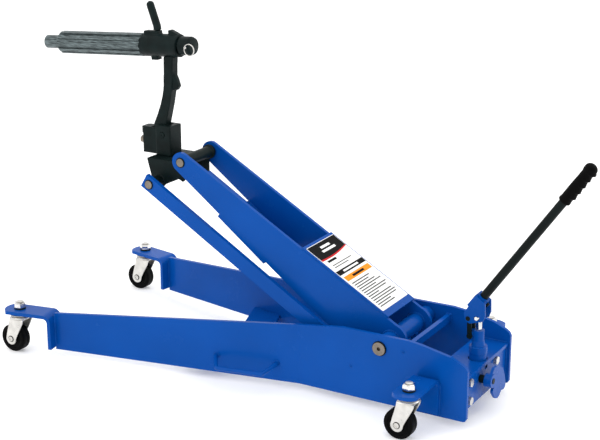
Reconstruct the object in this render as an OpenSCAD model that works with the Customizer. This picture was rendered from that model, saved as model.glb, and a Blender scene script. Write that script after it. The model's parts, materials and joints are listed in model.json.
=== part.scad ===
// Hydraulic clutch jack: a steel frame on four swivel casters, two lift arms and
// two lower links that keep the head upright, a foot of hydraulics at the rear
// and a splined alignment shaft clamped in the head.
// Front (shaft end) points to -X, the pump handle to +X, up is +Z, the floor is z = 0.

/* [Lift arms] */
// height of the main pivot above the floor
pivot_z = 137; // [125:1:150]
// distance from the main pivot to the head pin
arm_len = 600; // [540:5:640]
// angle of the lift arms above level
arm_angle = 30.8; // [0:0.1:60]
// distance between the outer faces of the lift arms
arms_w = 125; // [115:1:135]
// thickness of the lift arm plates
arm_t = 8; // [6:1:10]

/* [Frame] */
// distance between the outer faces of the side plates at the rear
frame_w = 229; // [215:1:240]
// thickness of the side plates
side_t = 8; // [6:1:10]
// angle by which the front legs splay outwards
splay = 11; // [8:0.5:14]
// height of the underside of the side plates above the floor
clear_z = 18; // [14:1:24]
// distance from the pivot to the nut of a front caster
front_x = 841; // [800:1:860]
// distance from the pivot to the nut of a rear caster
rear_x = 110; // [100:1:125]

/* [Casters] */
// diameter of a wheel
wheel_d = 63.5; // [60:0.5:70]
// width of a wheel
wheel_w = 26; // [22:1:30]
// distance of the wheel axle from the swivel axis
trail = 17; // [12:1:22]

/* [Head] */
// outside diameter of the spline
spline_d = 50.8; // [44:0.1:51]
// length of the spline
spline_len = 232.5; // [200:0.5:240]
// diameter of the pilot nose
pilot_d = 30; // [25:1:35]
// length of the pilot nose
pilot_len = 42; // [30:1:50]
// angle of the shaft, nose down
shaft_tilt = 3.7; // [0:0.1:6]

/* [Handle] */
// angle of the pump handle above level
handle_angle = 55.1; // [40:0.1:70]
// diameter of the handle tube
handle_d = 18; // [16:0.5:20]

/* [Hidden] */
$fn = 64;
// x of the main pivot in the part's own frame, whose origin is the middle of the footprint
pivot_x = 260;
// running clearance on the radius
run = 0.05;
side_y = frame_w / 2;
in_y = side_y - side_t;
arm_y = arms_w / 2;
arm_in = arm_y - arm_t;
bend_x = -187;
rear_end = 194.5;
// mid line of the front leg, and its end where the caster bracket is welded
bracket_u = 88;
leg_end_x = -front_x + bracket_u * cos(splay);
leg_end_y = side_y - side_t / 2 + (bend_x - leg_end_x) * tan(splay);
nut_front = [-front_x, leg_end_y + bracket_u * sin(splay)];
nut_rear = [rear_x, side_y + bracket_u];
// head pins, seen from the pivot
head_x = -arm_len * cos(arm_angle);
head_z = pivot_z + arm_len * sin(arm_angle);
off_x = -66;
off_z = -52;
low_x = head_x + off_x;
low_z = head_z + off_z;
link_y = 80;
link_t = 10;
pin_d = 18;
main_d = 28;
crank_r = 64;
ram_z = 68;
tongue_z = 95;
// point on the shaft axis under the clamp lever
shaft_x = -606;
shaft_z = 683;
lever_x = -3;
swivel_x = -590;
block_z = 440.5;
tilt_x = -592;
tilt_z = 487;
ful_x = 149;
ful_z = 198;
pump_x = 167;

blue = [0.07, 0.2, 0.6];
black = [0.08, 0.09, 0.09];
zinc = [0.8, 0.8, 0.78];
steel = [0.6, 0.6, 0.58];

// ---------- helpers ----------

// moves what is drawn from the pivot's frame to the part's own frame
module at_pivot() {
    translate([pivot_x, 0, 0])
        children();
}

// plate drawn by its side view in x and z, from y0 to y1
module plate_y(y0, y1, pts) {
    translate([0, y1, 0])
        rotate([90, 0, 0])
            linear_extrude(y1 - y0)
                polygon(pts);
}

module cyl_y(d, y0, y1, x, z) {
    translate([x, y1, z])
        rotate([90, 0, 0])
            cylinder(h = y1 - y0, d = d);
}

module cyl_x(d, x0, x1, y, z) {
    translate([x0, y, z])
        rotate([0, 90, 0])
            cylinder(h = x1 - x0, d = d);
}

module box(x0, x1, y0, y1, z0, z1) {
    translate([x0, y0, z0])
        cube([x1 - x0, y1 - y0, z1 - z0]);
}

// round bar from point a to point b
module rod(a, b, d) {
    v = b - a;
    l = norm(v);
    translate(a)
        rotate([0, acos(v[2] / l), atan2(v[1], v[0])])
            cylinder(h = l, d = d, $fn = 32);
}

// hex head or nut along z
module hex(af, h) {
    cylinder(h = h, d = af / cos(30), $fn = 6);
}

// both sides of the jack
module both_sides() {
    children();
    mirror([0, 1, 0])
        children();
}

// arm frame: x runs from the pivot to the head pin, z is up from the arm's centre line
module on_arm() {
    translate([0, 0, pivot_z])
        rotate([0, arm_angle, 0])
            mirror([1, 0, 0])
                children();
}

// shaft frame: origin on the shaft axis under the clamp lever, x to the rear
module on_shaft() {
    translate([shaft_x, 0, shaft_z])
        rotate([0, -shaft_tilt, 0])
            children();
}

// handle frame: origin at the fulcrum, z along the handle
module on_handle() {
    translate([ful_x, 0, ful_z])
        rotate([0, 90 - handle_angle, 0])
            children();
}

// caster positions: side is -1 for left and 1 for right
function caster_at(front, side) =
    front ? [nut_front[0], side * nut_front[1]] : [nut_rear[0], side * nut_rear[1]];

module each_caster() {
    for (front = [true, false])
        for (side = [-1, 1])
            translate(concat(caster_at(front, side), [0]))
                children();
}

// ---------- frame ----------

// side view of a side plate, from the front leg to the rear corner
side_pts = [
    [leg_end_x - 30, 101], [bend_x, 151], [-90, 165], [62, 166], [90, 163], [156, 150],
    [184, 137.5], [191, 132], [rear_end, 125], [rear_end, clear_z + 6], [192, clear_z + 1.5],
    [187, clear_z], [leg_end_x - 30, clear_z]
];

// plan view of a side plate: straight at the rear, splayed at the front
module side_plan() {
    c = cos(splay);
    s = sin(splay);
    m = tan(splay / 2) * side_t;
    l = (bend_x - leg_end_x - side_t / 2 * s) / c - 0.02;
    polygon([
        [rear_end, in_y], [rear_end, side_y], [bend_x, side_y],
        [bend_x - l * c, side_y + l * s],
        [bend_x - l * c - side_t * s, side_y + l * s - side_t * c],
        [bend_x + m, in_y]
    ]);
}

module side_plate(y_sign) {
    difference() {
        intersection() {
            linear_extrude(200)
                mirror([0, y_sign < 0 ? 1 : 0, 0])
                    side_plan();
            plate_y(-300, 300, side_pts);
        }
        cyl_y(main_d + 2 * run, -300, 300, 0, pivot_z);
        cyl_y(pin_d + 2 * run, -300, 300, off_x, pivot_z + off_z);
    }
}

module side_plate_left() {
    color(blue)
        at_pivot()
            side_plate(-1);
}

module side_plate_right() {
    color(blue)
        at_pivot()
            side_plate(1);
}

// y of the leg's inner face at x
function leg_in(x) = side_y - side_t / cos(splay) + (bend_x - x) * tan(splay) - 0.02;

module front_cross_plate() {
    f = -470;
    r = -392;
    color(blue)
        at_pivot()
            translate([0, 0, 37])
                linear_extrude(8)
                    polygon([
                        [f, leg_in(f)], [r, leg_in(r)], [r + 48, 14], [r + 48, -14],
                        [r, -leg_in(r)], [f, -leg_in(f)], [f + 48, -14], [f + 48, 14]
                    ]);
}

shelf_z = 110;
panel_x = 178;
bolt_ys = [-84, 47];
bolt_zs = [52, 92];
valve_y = -30;
valve_z = 80;

module rear_angle_plate() {
    color(blue)
        at_pivot()
            difference() {
                union() {
                    box(116, 190, -in_y, in_y, shelf_z - 7, shelf_z);
                    box(panel_x, panel_x + 8, -in_y, in_y, 36, shelf_z - 7);
                }
                translate([pump_x, 0, 90])
                    cylinder(h = 40, d = 40);
                for (y = bolt_ys)
                    for (z = bolt_zs)
                        cyl_x(10.6, 170, 200, y, z);
                cyl_x(18, 170, 200, valve_y, valve_z);
            }
}

module rear_cross_bar() {
    color(blue)
        at_pivot()
            box(48, 58, -in_y, in_y, 132, 148);
}

// bent strip: flat tongue over the caster, bend, and the leg welded to the frame.
// Origin on the swivel axis at floor level, x towards the weld face.
module caster_bracket() {
    t = 8;
    w = 52;
    ri = 10;
    ro = ri + t;
    top = tongue_z + t;
    bx = bracket_u - ro;
    difference() {
        union() {
            intersection() {
                translate([0, 0, tongue_z])
                    cylinder(h = t, r = 34);
                box(-40, 40, -w / 2, w / 2, 0, 200);
            }
            box(0, bx, -w / 2, w / 2, tongue_z, top);
            box(bracket_u - t, bracket_u, -w / 2, w / 2, 24, top - ro);
            intersection() {
                difference() {
                    cyl_y(2 * ro, -w / 2, w / 2, bx, top - ro);
                    cyl_y(2 * ri, -w, w, bx, top - ro);
                }
                box(bx, bracket_u, -w / 2, w / 2, top - ro, top);
            }
        }
        cylinder(h = 200, d = 16.4);
    }
}

module caster_brackets() {
    color(blue)
        at_pivot()
            both_sides() {
                translate([nut_front[0], nut_front[1], 0])
                    rotate([0, 0, -splay])
                        caster_bracket();
                translate([nut_rear[0], nut_rear[1] + 0.02, 0])
                    rotate([0, 0, -90])
                        caster_bracket();
            }
}

// carrying handle of bent rod on the outside of each leg
module leg_handles() {
    d = 9;
    out = [sin(splay), cos(splay), 0];
    along = [cos(splay), -sin(splay), 0];
    down = [0, 0, -9];
    face = side_y + 0.02;
    a = [-372, face + (bend_x + 372) * tan(splay), 57];
    b = [-237, face + (bend_x + 237) * tan(splay), 57];
    a1 = a + 7 * out;
    b1 = b + 7 * out;
    a2 = a + 46 * out + 18 * along + down;
    b2 = b + 46 * out - 18 * along + down;
    color(blue)
        at_pivot()
            both_sides() {
                rod(a, a1, d);
                rod(a1, a2, d);
                rod(a2, b2, d);
                rod(b2, b1, d);
                rod(b1, b, d);
                for (p = [a1, a2, b2, b1])
                    translate(p)
                        rotate([90, 0, 7])
                            sphere(d = d + 1, $fn = 32);
            }
}

module main_pivot_pin() {
    color(steel)
        at_pivot()
            difference() {
                cyl_y(main_d, -119, 119, 0, pivot_z);
                for (s = [-1, 1]) {
                    cyl_y(8, s * 119 - 6, s * 119 + 6, 0, pivot_z);
                    difference() {
                        cyl_y(main_d + 4, s * 116 - 0.8, s * 116 + 0.8, 0, pivot_z);
                        cyl_y(main_d - 2, s * 116 - 2, s * 116 + 2, 0, pivot_z);
                    }
                }
            }
}

module pivot_snap_rings() {
    color(black)
        at_pivot()
            both_sides()
                difference() {
                    cyl_y(main_d + 3.6, 115.25, 116.75, 0, pivot_z);
                    cyl_y(main_d - 1.9, 110, 120, 0, pivot_z);
                    box(-3, 3, 110, 120, pivot_z - 30, pivot_z);
                }
}

// studs in the side plates that carry the rear ends of the lower links
module link_pivot_studs() {
    z = pivot_z + off_z;
    color(blue)
        at_pivot()
            both_sides() {
                cyl_y(pin_d, link_y - 1, side_y, off_x, z);
                cyl_y(28, link_y - 5, link_y - 1, off_x, z);
                cyl_y(26, link_y + link_t + 1, in_y - 0.02, off_x, z);
            }
}

// caster bolts with the fixed upper ball race
module caster_stems() {
    color(zinc)
        at_pivot()
            each_caster() {
                translate([0, 0, 75])
                    cylinder(h = 4, d = 20);
                translate([0, 0, 78])
                    cylinder(h = 14, d = 12);
                translate([0, 0, 90])
                    cylinder(h = tongue_z - 90.02, d = 46);
                translate([0, 0, 94])
                    cylinder(h = 27, d = 16);
            }
}

module caster_nuts() {
    z = tongue_z + 8.02;
    color(zinc)
        at_pivot()
            each_caster()
                difference() {
                    union() {
                        translate([0, 0, z])
                            cylinder(h = 2.5, d = 30);
                        intersection() {
                            translate([0, 0, z + 2.5])
                                hex(24, 13);
                            translate([0, 0, z + 2.5])
                                cylinder(h = 13, d1 = 34, d2 = 25);
                        }
                    }
                    cylinder(h = 200, d = 16.1);
                }
}

// ---------- casters ----------

module caster_fork(at) {
    r = 13;
    g = wheel_w / 2 + 2;
    t = 2.5;
    az = wheel_d / 2;
    color(zinc)
        at_pivot()
            translate([at[0], at[1], 0])
                difference() {
                    union() {
                        both_sides() {
                            plate_y(g, g + t, [
                                [-trail - 12.5, az + 3], [-trail + 10, az - 8.5],
                                [18, 77], [18, 83], [-18, 83], [-18, 77]
                            ]);
                            cyl_y(2 * r, g, g + t, -trail, az);
                        }
                        box(-18, 18, -g - t, g + t, 80, 83);
                        translate([0, 0, 83])
                            cylinder(h = 6.5, d = 42);
                        cyl_y(8, -g - t - 1.5, g + t + 1.5, -trail, az);
                        both_sides()
                            cyl_y(13, g + t, g + t + 1.5, -trail, az);
                    }
                    translate([0, 0, 70])
                        cylinder(h = 30, d = 12 + 2 * run);
                }
}

module wheel(at) {
    h = wheel_w / 2;
    ro = wheel_d / 2;
    color(black)
        at_pivot()
            translate([at[0] - trail, at[1], wheel_d / 2])
                rotate([90, 0, 0])
                    rotate_extrude()
                        polygon([
                            [4 + run, -h - 1], [10, -h - 1], [10, -h + 2], [21, -h + 2],
                            [23, -h], [ro - 3, -h], [ro - 0.9, -h + 0.9], [ro, -h + 3],
                            [ro, h - 3], [ro - 0.9, h - 0.9], [ro - 3, h],
                            [23, h], [21, h - 2], [10, h - 2], [10, h + 1], [4 + run, h + 1]
                        ]);
}

module caster_fork_front_left() { caster_fork(caster_at(true, -1)); }
module caster_fork_front_right() { caster_fork(caster_at(true, 1)); }
module caster_fork_rear_left() { caster_fork(caster_at(false, -1)); }
module caster_fork_rear_right() { caster_fork(caster_at(false, 1)); }
module wheel_front_left() { wheel(caster_at(true, -1)); }
module wheel_front_right() { wheel(caster_at(true, 1)); }
module wheel_rear_left() { wheel(caster_at(false, -1)); }
module wheel_rear_right() { wheel(caster_at(false, 1)); }

// ---------- lift arms ----------

// side view of a lift arm in the arm frame
arm_pts = [
    [0, 34.2], [60, 33], [arm_len, 22], [arm_len, -22], [464, -37], [300, -56],
    [130, -72], [90, -68], [20, -31]
];

module lift_arm(y0) {
    color(blue)
        at_pivot()
            on_arm()
                difference() {
                    union() {
                        plate_y(y0, y0 + arm_t, arm_pts);
                        cyl_y(2 * 35, y0, y0 + arm_t, 0, 0);
                        cyl_y(2 * 22, y0, y0 + arm_t, arm_len, 0);
                    }
                    cyl_y(40.04, y0 - 1, y0 + arm_t + 1, 0, 0);
                    cyl_y(pin_d + 0.04, y0 - 1, y0 + arm_t + 1, arm_len, 0);
                }
}

module lift_arm_left() { lift_arm(-arm_y); }
module lift_arm_right() { lift_arm(arm_in); }

module arm_hub_tube() {
    color(blue)
        at_pivot()
            difference() {
                cyl_y(40, -in_y + 0.6, in_y - 0.6, 0, pivot_z);
                cyl_y(main_d + 2 * run, -120, 120, 0, pivot_z);
            }
}

// plate on the upper edges of the arms, in the arm frame
top_slope = atan(11 / 540);

module on_top_edge() {
    on_arm()
        translate([60, 0, 33.05])
            rotate([0, top_slope, 0])
                children();
}

module arm_top_plate() {
    color(blue)
        at_pivot()
            on_top_edge()
                box(-28, 205, -arm_y + 1, arm_y - 1, 0, 5);
}

module label_sheet() {
    color("white")
        at_pivot()
            on_top_edge()
                box(-12, 198, -arm_y + 4, arm_y - 4, 5.02, 5.52);
}

// plate across the lower edges of the arms
module arm_brace_plate() {
    slope = atan(19 / 164);
    color(blue)
        at_pivot()
            on_arm()
                translate([464, 0, -37.05])
                    rotate([0, -slope, 0])
                        box(-145, 0, -arm_y, arm_y, -7, 0);
}

// two lugs under the hub with the roller pin between them
module crank_lugs() {
    color(blue)
        at_pivot()
            difference() {
                union() {
                    both_sides() {
                        plate_y(13.5, 21.5, [
                            [-22, pivot_z - 8], [22, pivot_z - 8], [11, pivot_z - crank_r],
                            [-11, pivot_z - crank_r]
                        ]);
                        cyl_y(22, 13.5, 21.5, 0, pivot_z - crank_r);
                    }
                    cyl_y(12, -24, 24, 0, pivot_z - crank_r);
                }
                cyl_y(40.04, -30, 30, 0, pivot_z);
            }
}

module crank_roller() {
    color(steel)
        at_pivot()
            difference() {
                cyl_y(28, -12.5, 12.5, 0, pivot_z - crank_r);
                cyl_y(12 + 2 * run, -20, 20, 0, pivot_z - crank_r);
            }
}

module head_pivot_pin() {
    color(steel)
        at_pivot()
            cyl_y(pin_d, -arm_y - 3, arm_y + 3, head_x, head_z);
}

// ---------- lower links ----------

module lower_link(y0) {
    h = 16;
    color(blue)
        at_pivot()
            translate([0, 0, off_z])
                translate([off_x, 0, 0])
                    on_arm()
                        difference() {
                            union() {
                                box(0, arm_len + 16, y0, y0 + link_t, -h, h);
                                cyl_y(2 * h, y0, y0 + link_t, 0, 0);
                            }
                            cyl_y(pin_d + 2 * run, y0 - 1, y0 + link_t + 1, 0, 0);
                            cyl_y(pin_d + 0.8, y0 - 1, y0 + link_t + 1, arm_len, 0);
                        }
}

module lower_link_left() { lower_link(-link_y - link_t); }
module lower_link_right() { lower_link(link_y); }

// ---------- head ----------

module head_yoke() {
    color(black)
        at_pivot()
            difference() {
                union() {
                    both_sides() {
                        plate_y(44, 51, [
                            [low_x - 16, low_z], [-603, 400], [-611, 428], [-614, 440],
                            [head_x - 14, 440], [head_x - 4, head_z + 15],
                            [head_x + 9, head_z + 9], [head_x + 9, 432], [head_x, 427],
                            [head_x, 401], [-519, 397], [-530, 402], [-568, 384],
                            [low_x, low_z - 14]
                        ]);
                        cyl_y(32, 44, 51, low_x, low_z);
                        cyl_y(32, 44, 51, head_x, head_z);
                    }
                    box(-614, head_x - 16, -44.5, 44.5, 431, 440);
                    plate_y(-44.5, 44.5, [[-603, 400], [-598, 400], [-607, 435], [-612, 435]]);
                    cyl_y(26, -arm_in + 1, arm_in - 1, head_x, head_z);
                    cyl_y(25, -link_y + 1, link_y - 1, low_x, low_z);
                }
                cyl_y(pin_d + 2 * run, -100, 100, head_x, head_z);
                cyl_y(pin_d + 0.04, -100, 100, low_x, low_z);
                translate([swivel_x, 0, 424])
                    cylinder(h = 40, d = 20 + 2 * run);
            }
}

module head_lower_pin() {
    color(steel)
        at_pivot()
            cyl_y(pin_d, -link_y - link_t - 3, link_y + link_t + 3, low_x, low_z);
}

module swivel_block() {
    color(black)
        at_pivot()
            difference() {
                union() {
                    box(-609.5, -570, -22, 22, block_z, 508);
                    box(-649, -605, -15, 15, block_z, 500);
                    box(-653, -645, -12, 12, 484, 500);
                }
                box(-628, -583, -11.5, 11.5, 447, 520);
                box(-584, -575, -11.5, 11.5, 447, 497);
                cyl_y(12 + 0.04, -40, 40, tilt_x, tilt_z);
                cyl_x(10 + 2 * run, -680, -627, 0, 466);
                translate([swivel_x, 0, 430])
                    cylinder(h = 30, d = 20.04);
            }
}

// king pin of the swivel, held in the block and turning in the yoke
module swivel_pin() {
    color(steel)
        at_pivot()
            translate([swivel_x, 0, 0]) {
                translate([0, 0, 421])
                    cylinder(h = 25.5, d = 20);
                translate([0, 0, 419])
                    cylinder(h = 4.9, d = 24);
            }
}

module tilt_pin() {
    color(black)
        at_pivot()
            difference() {
                cyl_y(12, -22.6, 22.6, tilt_x, tilt_z);
                cyl_y(5, -30, -21.6, tilt_x, tilt_z);
            }
}

module tilt_adjusting_screw() {
    color(steel)
        at_pivot() {
            cyl_x(10, -655, -624, 0, 466);
            translate([-661.5, 0, 466])
                rotate([0, 90, 0])
                    hex(15, 6.9);
        }
}

// cranked bar that rises out of the swivel block
module head_neck() {
    color(black)
        at_pivot()
            difference() {
                union() {
                    plate_y(-11, 11, [
                        [-622, 453], [-581, 453], [-581, 484], [-587, 494], [-589, 508],
                        [-583.5, 530], [-577, 556], [-571.5, 585], [-568, 620], [-566, 664],
                        [-590, 664], [-591.5, 620], [-593, 590], [-596.5, 572], [-602, 553],
                        [-611, 530], [-621, 508]
                    ]);
                    plate_y(-6, 6, [
                        [-574, 640], [-560, 612], [-555, 597], [-561, 588], [-577, 588]
                    ]);
                }
                cyl_y(12 + 2 * run, -20, 20, tilt_x, tilt_z);
                on_shaft()
                    cyl_x(50.04, -60, 60, 0, 0);
            }
}

module shaft_socket() {
    color(black)
        at_pivot()
            on_shaft()
                difference() {
                    union() {
                        cyl_x(50, -40, 56, 0, 0);
                        box(-35, 4, -9, 9, 10, 32);
                        box(-20, -3, -9, 9, -32, -10);
                        plate_y(-7, 7, [
                            [29, 0], [29, 34], [35, 34], [52, 26], [52, 0]
                        ]);
                    }
                    cyl_x(29 + 2 * run, -60, 60, 0, 0);
                    translate([lever_x, 0, 0])
                        cylinder(h = 60, d = 10 + 2 * run);
                    rotate([0, shaft_tilt, 0])
                        translate([-shaft_x, 0, -shaft_z])
                            plate_y(-11.02, 11.02, [
                                [-594, 600], [-563, 600], [-563, 657.5], [-594, 657.5]
                            ]);
                }
}

// bent locking lever with its screw
module clamp_lever() {
    d = 17;
    h = 42;
    lean = 15;
    top = 94;
    l = norm([lean, top - h]);
    color(black)
        at_pivot()
            on_shaft()
                translate([lever_x, 0, 0]) {
                    translate([0, 0, 16])
                        cylinder(h = 24, d = 10);
                    translate([0, 0, 32.5])
                        cylinder(h = 3, d = 17);
                    translate([0, 0, h])
                        sphere(d = d + 1, $fn = 32);
                    translate([0, 0, h])
                        rotate([0, -atan2(lean, top - h), 0])
                            rotate_extrude()
                                polygon([
                                    [0, 0], [d / 2, 0], [d / 2, l], [d / 2 - 1, l + 4],
                                    [d / 2 - 4, l + 7], [0, l + 8]
                                ]);
                }
}

// ten-tooth spline with a pilot nose and a plain shank
module spline_shaft() {
    x1 = -40.5;
    x0 = x1 - spline_len;
    r = spline_d / 2;
    rp = pilot_d / 2;
    root = r - 4;
    color(steel)
        at_pivot()
            on_shaft()
                difference() {
                    rotate([0, 90, 0])
                        rotate_extrude()
                            polygon([
                                [0, x0 - pilot_len], [rp - 2, x0 - pilot_len],
                                [rp, x0 - pilot_len + 2], [rp, x0 - 2], [rp - 1, x0 - 2],
                                [rp - 1, x0], [r - 5, x0],
                                [r, x0 + 6], [r, x1], [14.5, x1], [14.5, 88], [0, 88]
                            ]);
                    for (i = [0 : 9])
                        rotate([36 * i, 0, 0])
                            plate_x(x0 - 5, x1 + 0.4, [
                                [-2.7, root], [2.7, root], [4.4, r + 1], [-4.4, r + 1]
                            ]);
                }
}

module shaft_end_knob() {
    color(black)
        at_pivot()
            on_shaft()
                difference() {
                    rotate([0, 90, 0])
                        rotate_extrude()
                            polygon([
                                [14.52, 58.5], [19, 58.5], [20.5, 60], [20.5, 84], [17.5, 90],
                                [0, 92], [0, 88.02], [14.52, 88.02]
                            ]);
                    cyl_y(4.04, -30, 30, pin_x, 0);
                }
}

pin_x = 82;

module retaining_pin_ring() {
    rm = 12.5;
    color(zinc)
        at_pivot()
            on_shaft() {
                difference() {
                    cyl_y(4, -25, 23, pin_x, 0);
                    cyl_x(31, 0, 100, 0, 0);
                }
                translate([pin_x, -25, 0])
                    sphere(d = 6, $fn = 24);
                translate([pin_x + 11.6, -25, -4.6])
                    rotate([90, 0, 0])
                        rotate_extrude()
                            translate([rm, 0])
                                circle(d = 2, $fn = 24);
            }
}

// ---------- hydraulics ----------

module hydraulic_block() {
    color(blue)
        at_pivot()
            difference() {
                union() {
                    box(118, panel_x - 0.02, -44, 34, 36, 96);
                    box(169, panel_x - 0.02, -96, 59, 40, 102.9);
                }
                for (y = bolt_ys)
                    for (z = bolt_zs)
                        cyl_x(10.04, 160, 200, y, z);
                cyl_x(40.04, 110, 168, 0, ram_z);
                cyl_x(12.2, 150, 200, valve_y, valve_z);
                translate([pump_x, 0, 96])
                    cylinder(h = 40, d = 40);
                translate([pump_x - 4, 0, 90])
                    cylinder(h = 20, d = 24.04);
                translate([150, -28, 88])
                    cylinder(h = 20, d = 12.04);
            }
}

module ram_cylinder() {
    color(blue)
        at_pivot()
            difference() {
                union() {
                    cyl_x(56, 66, 117.98, 0, ram_z);
                    cyl_x(44, 61, 67, 0, ram_z);
                    cyl_x(40, 117, 168, 0, ram_z);
                }
                cyl_x(28 + 2 * run, 50, 165, 0, ram_z);
            }
}

// ram rod with its push block
module ram_plunger() {
    x0 = 14 + 1.2;
    color(steel)
        at_pivot() {
            box(x0, x0 + 9, -12, 12, ram_z - 18, ram_z + 26);
            cyl_x(28, x0 + 8, 128, 0, ram_z);
        }
}

module pump_barrel() {
    color(blue)
        at_pivot()
            translate([pump_x, 0, 0])
                difference() {
                    union() {
                        rotate_extrude()
                            polygon([
                                [0, 96.02], [18, 96.02], [18, 122], [18.8, 123], [18.8, 137],
                                [17.8, 138], [14.5, 138.5], [11.5, 150], [11.5, 172], [0, 172]
                            ]);
                        translate([-4, 0, 90])
                            cylinder(h = 12, d = 24);
                        plate_y(-8, 8, [[-22, 150], [-6, 146], [-6, 168], [-22, 168]]);
                    }
                    translate([0, 0, 110])
                        cylinder(h = 70, d = 12 + 2 * run);
                    cyl_y(8.04, -20, 20, -16, 158);
                }
}

// pair of links and pins that carry the socket's fulcrum
module pump_fulcrum_links() {
    lx = pump_x - 16;
    color(black)
        at_pivot() {
            both_sides()
                difference() {
                    union() {
                        plate_y(8.02, 12, [
                            [lx - 4.5, 158], [lx + 4.5, 158], [ful_x + 4.5, ful_z],
                            [ful_x - 4.5, ful_z]
                        ]);
                        cyl_y(12, 8.02, 12, lx, 158);
                        cyl_y(13, 8.02, 12, ful_x, ful_z);
                    }
                    translate([pump_x, 0, 110])
                        cylinder(h = 62, d = 23.2);
                }
            cyl_y(10, -17.4, 17.4, ful_x, ful_z);
            cyl_y(8, -14, 14, lx, 158);
        }
}

module pump_plunger() {
    color(zinc)
        at_pivot() {
            translate([pump_x, 0, 120])
                cylinder(h = 74, d = 12);
            box(pump_x - 6, pump_x + 6, -6, 6, 190, 203);
            cyl_y(14, -6, 6, pump_x, 201);
            cyl_y(8, -17.4, 17.4, pump_x, 201);
        }
}

module oil_filler_plug() {
    color(steel)
        at_pivot()
            translate([150, -28, 0]) {
                translate([0, 0, 88.02])
                    cylinder(h = 9, d = 12);
                translate([0, 0, 96.02])
                    hex(14, 5);
            }
}

module panel_bolts() {
    color(zinc)
        at_pivot()
            for (y = bolt_ys)
                for (z = bolt_zs) {
                    cyl_x(10, 165, 190, y, z);
                    translate([panel_x + 8.02, y, z])
                        rotate([0, 90, 0])
                            hex(16, 6.5);
                }
}

module release_valve_stem() {
    color(black)
        at_pivot() {
            cyl_x(12, 155, 216, valve_y, valve_z);
            cyl_x(17, 187, 196, valve_y, valve_z);
        }
}

// foot pedal on the release valve: upright plate with a hub and a rounded toe
module release_pedal() {
    color(blue)
        at_pivot()
            difference() {
                union() {
                    plate_x(207, 213, [
                        [-36, 92], [-20, 105], [-6, 104], [8, 99], [25, 89], [37, 67], [43, 47],
                        [40, 41], [33, 38], [20, 41], [11, 33], [0, 30.5], [-9, 34], [-24, 50],
                        [-26, 56], [-20, 62], [-36, 67]
                    ]);
                    cyl_x(28, 199, 215, valve_y, valve_z);
                }
                cyl_x(12.04, 190, 220, valve_y, valve_z);
            }
}

// plate drawn by its rear view in y and z, from x0 to x1
module plate_x(x0, x1, pts) {
    translate([x0, 0, 0])
        rotate([90, 0, 90])
            linear_extrude(x1 - x0)
                polygon(pts);
}

// ---------- pump handle ----------

module handle_socket() {
    color(blue)
        at_pivot()
            on_handle()
                difference() {
                    union() {
                        both_sides() {
                            plate_y(13, 17, [
                                [-17, 51], [-14, 4], [-6, -5.2], [1, -8], [9, -6],
                                [27, 18], [24, 30], [8, 51]
                            ]);
                            cyl_y(16, 13, 17, 0, 0);
                        }
                        translate([-5.5, 0, 22])
                            cylinder(h = 32, d = 27);
                        box(-19, -13, -17, 17, 22, 51);
                    }
                    cyl_y(10 + 2 * run, -20, 20, 0, 0);
                    slot();
                    translate([-5.5, 0, 26])
                        cylinder(h = 40, d = handle_d + 0.04);
                    rotate([0, 90, 0])
                        translate([-44, 0, 0])
                            cylinder(h = 30, d = 8.04);
                }
}

// slot for the plunger pin, along the line from the fulcrum
module slot() {
    rotate([0, handle_angle - 90 - atan(3 / 18), 0]) {
        cyl_y(9.2, -20, 20, 17.3, 0);
        cyl_y(9.2, -20, 20, 20.7, 0);
        box(17.3, 20.7, -20, 20, -4.6, 4.6);
    }
}

module handle_set_screw() {
    color(black)
        at_pivot()
            on_handle()
                translate([0, 0, 44])
                    rotate([0, 90, 0]) {
                        translate([0, 0, 3.8])
                            cylinder(h = 9, d = 8);
                        translate([0, 0, 8.5])
                            cylinder(h = 4.5, d = 9);
                    }
}

module handle_tube() {
    color(black)
        at_pivot()
            on_handle()
                translate([-5.5, 0, 26])
                    difference() {
                        cylinder(h = 390, d = handle_d);
                        translate([0, 0, -1])
                            cylinder(h = 392, d = handle_d - 4);
                    }
}

module handle_grip() {
    z0 = 326;
    color(black)
        at_pivot()
            on_handle()
                translate([-5.5, 0, 0])
                    rotate_extrude()
                        polygon([
                            [9.02, z0], [12.5, z0], [14, z0 + 3], [14, z0 + 6],
                            [12.5, z0 + 9], [12.5, z0 + 24], [13.5, z0 + 27],
                            [12.5, z0 + 30], [12.5, z0 + 44], [13.5, z0 + 47],
                            [12.5, z0 + 50], [12.5, z0 + 64], [13.5, z0 + 67],
                            [12.5, z0 + 70], [12.5, z0 + 82], [15, z0 + 86],
                            [15, z0 + 92], [12, z0 + 96], [0, z0 + 96], [0, z0 + 90.5],
                            [9.02, z0 + 90.5]
                        ]);
}
side_plate_left();
side_plate_right();
front_cross_plate();
rear_angle_plate();
rear_cross_bar();
caster_brackets();
leg_handles();
main_pivot_pin();
pivot_snap_rings();
link_pivot_studs();
caster_stems();
caster_nuts();
hydraulic_block();
ram_cylinder();
ram_plunger();
pump_barrel();
pump_fulcrum_links();
pump_plunger();
oil_filler_plug();
panel_bolts();
release_valve_stem();
release_pedal();
handle_socket();
handle_set_screw();
handle_tube();
handle_grip();
lift_arm_left();
lift_arm_right();
arm_hub_tube();
arm_top_plate();
arm_brace_plate();
crank_lugs();
crank_roller();
head_pivot_pin();
label_sheet();
lower_link_left();
lower_link_right();
head_yoke();
head_lower_pin();
swivel_block();
swivel_pin();
tilt_pin();
tilt_adjusting_screw();
head_neck();
shaft_socket();
clamp_lever();
spline_shaft();
shaft_end_knob();
retaining_pin_ring();
caster_fork_front_left();
caster_fork_front_right();
caster_fork_rear_left();
caster_fork_rear_right();
wheel_front_left();
wheel_front_right();
wheel_rear_left();
wheel_rear_right();
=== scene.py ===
"""Hydraulic clutch jack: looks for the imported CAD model. Metres, in the CAD frame: -X is the front."""
import json
import math

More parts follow.
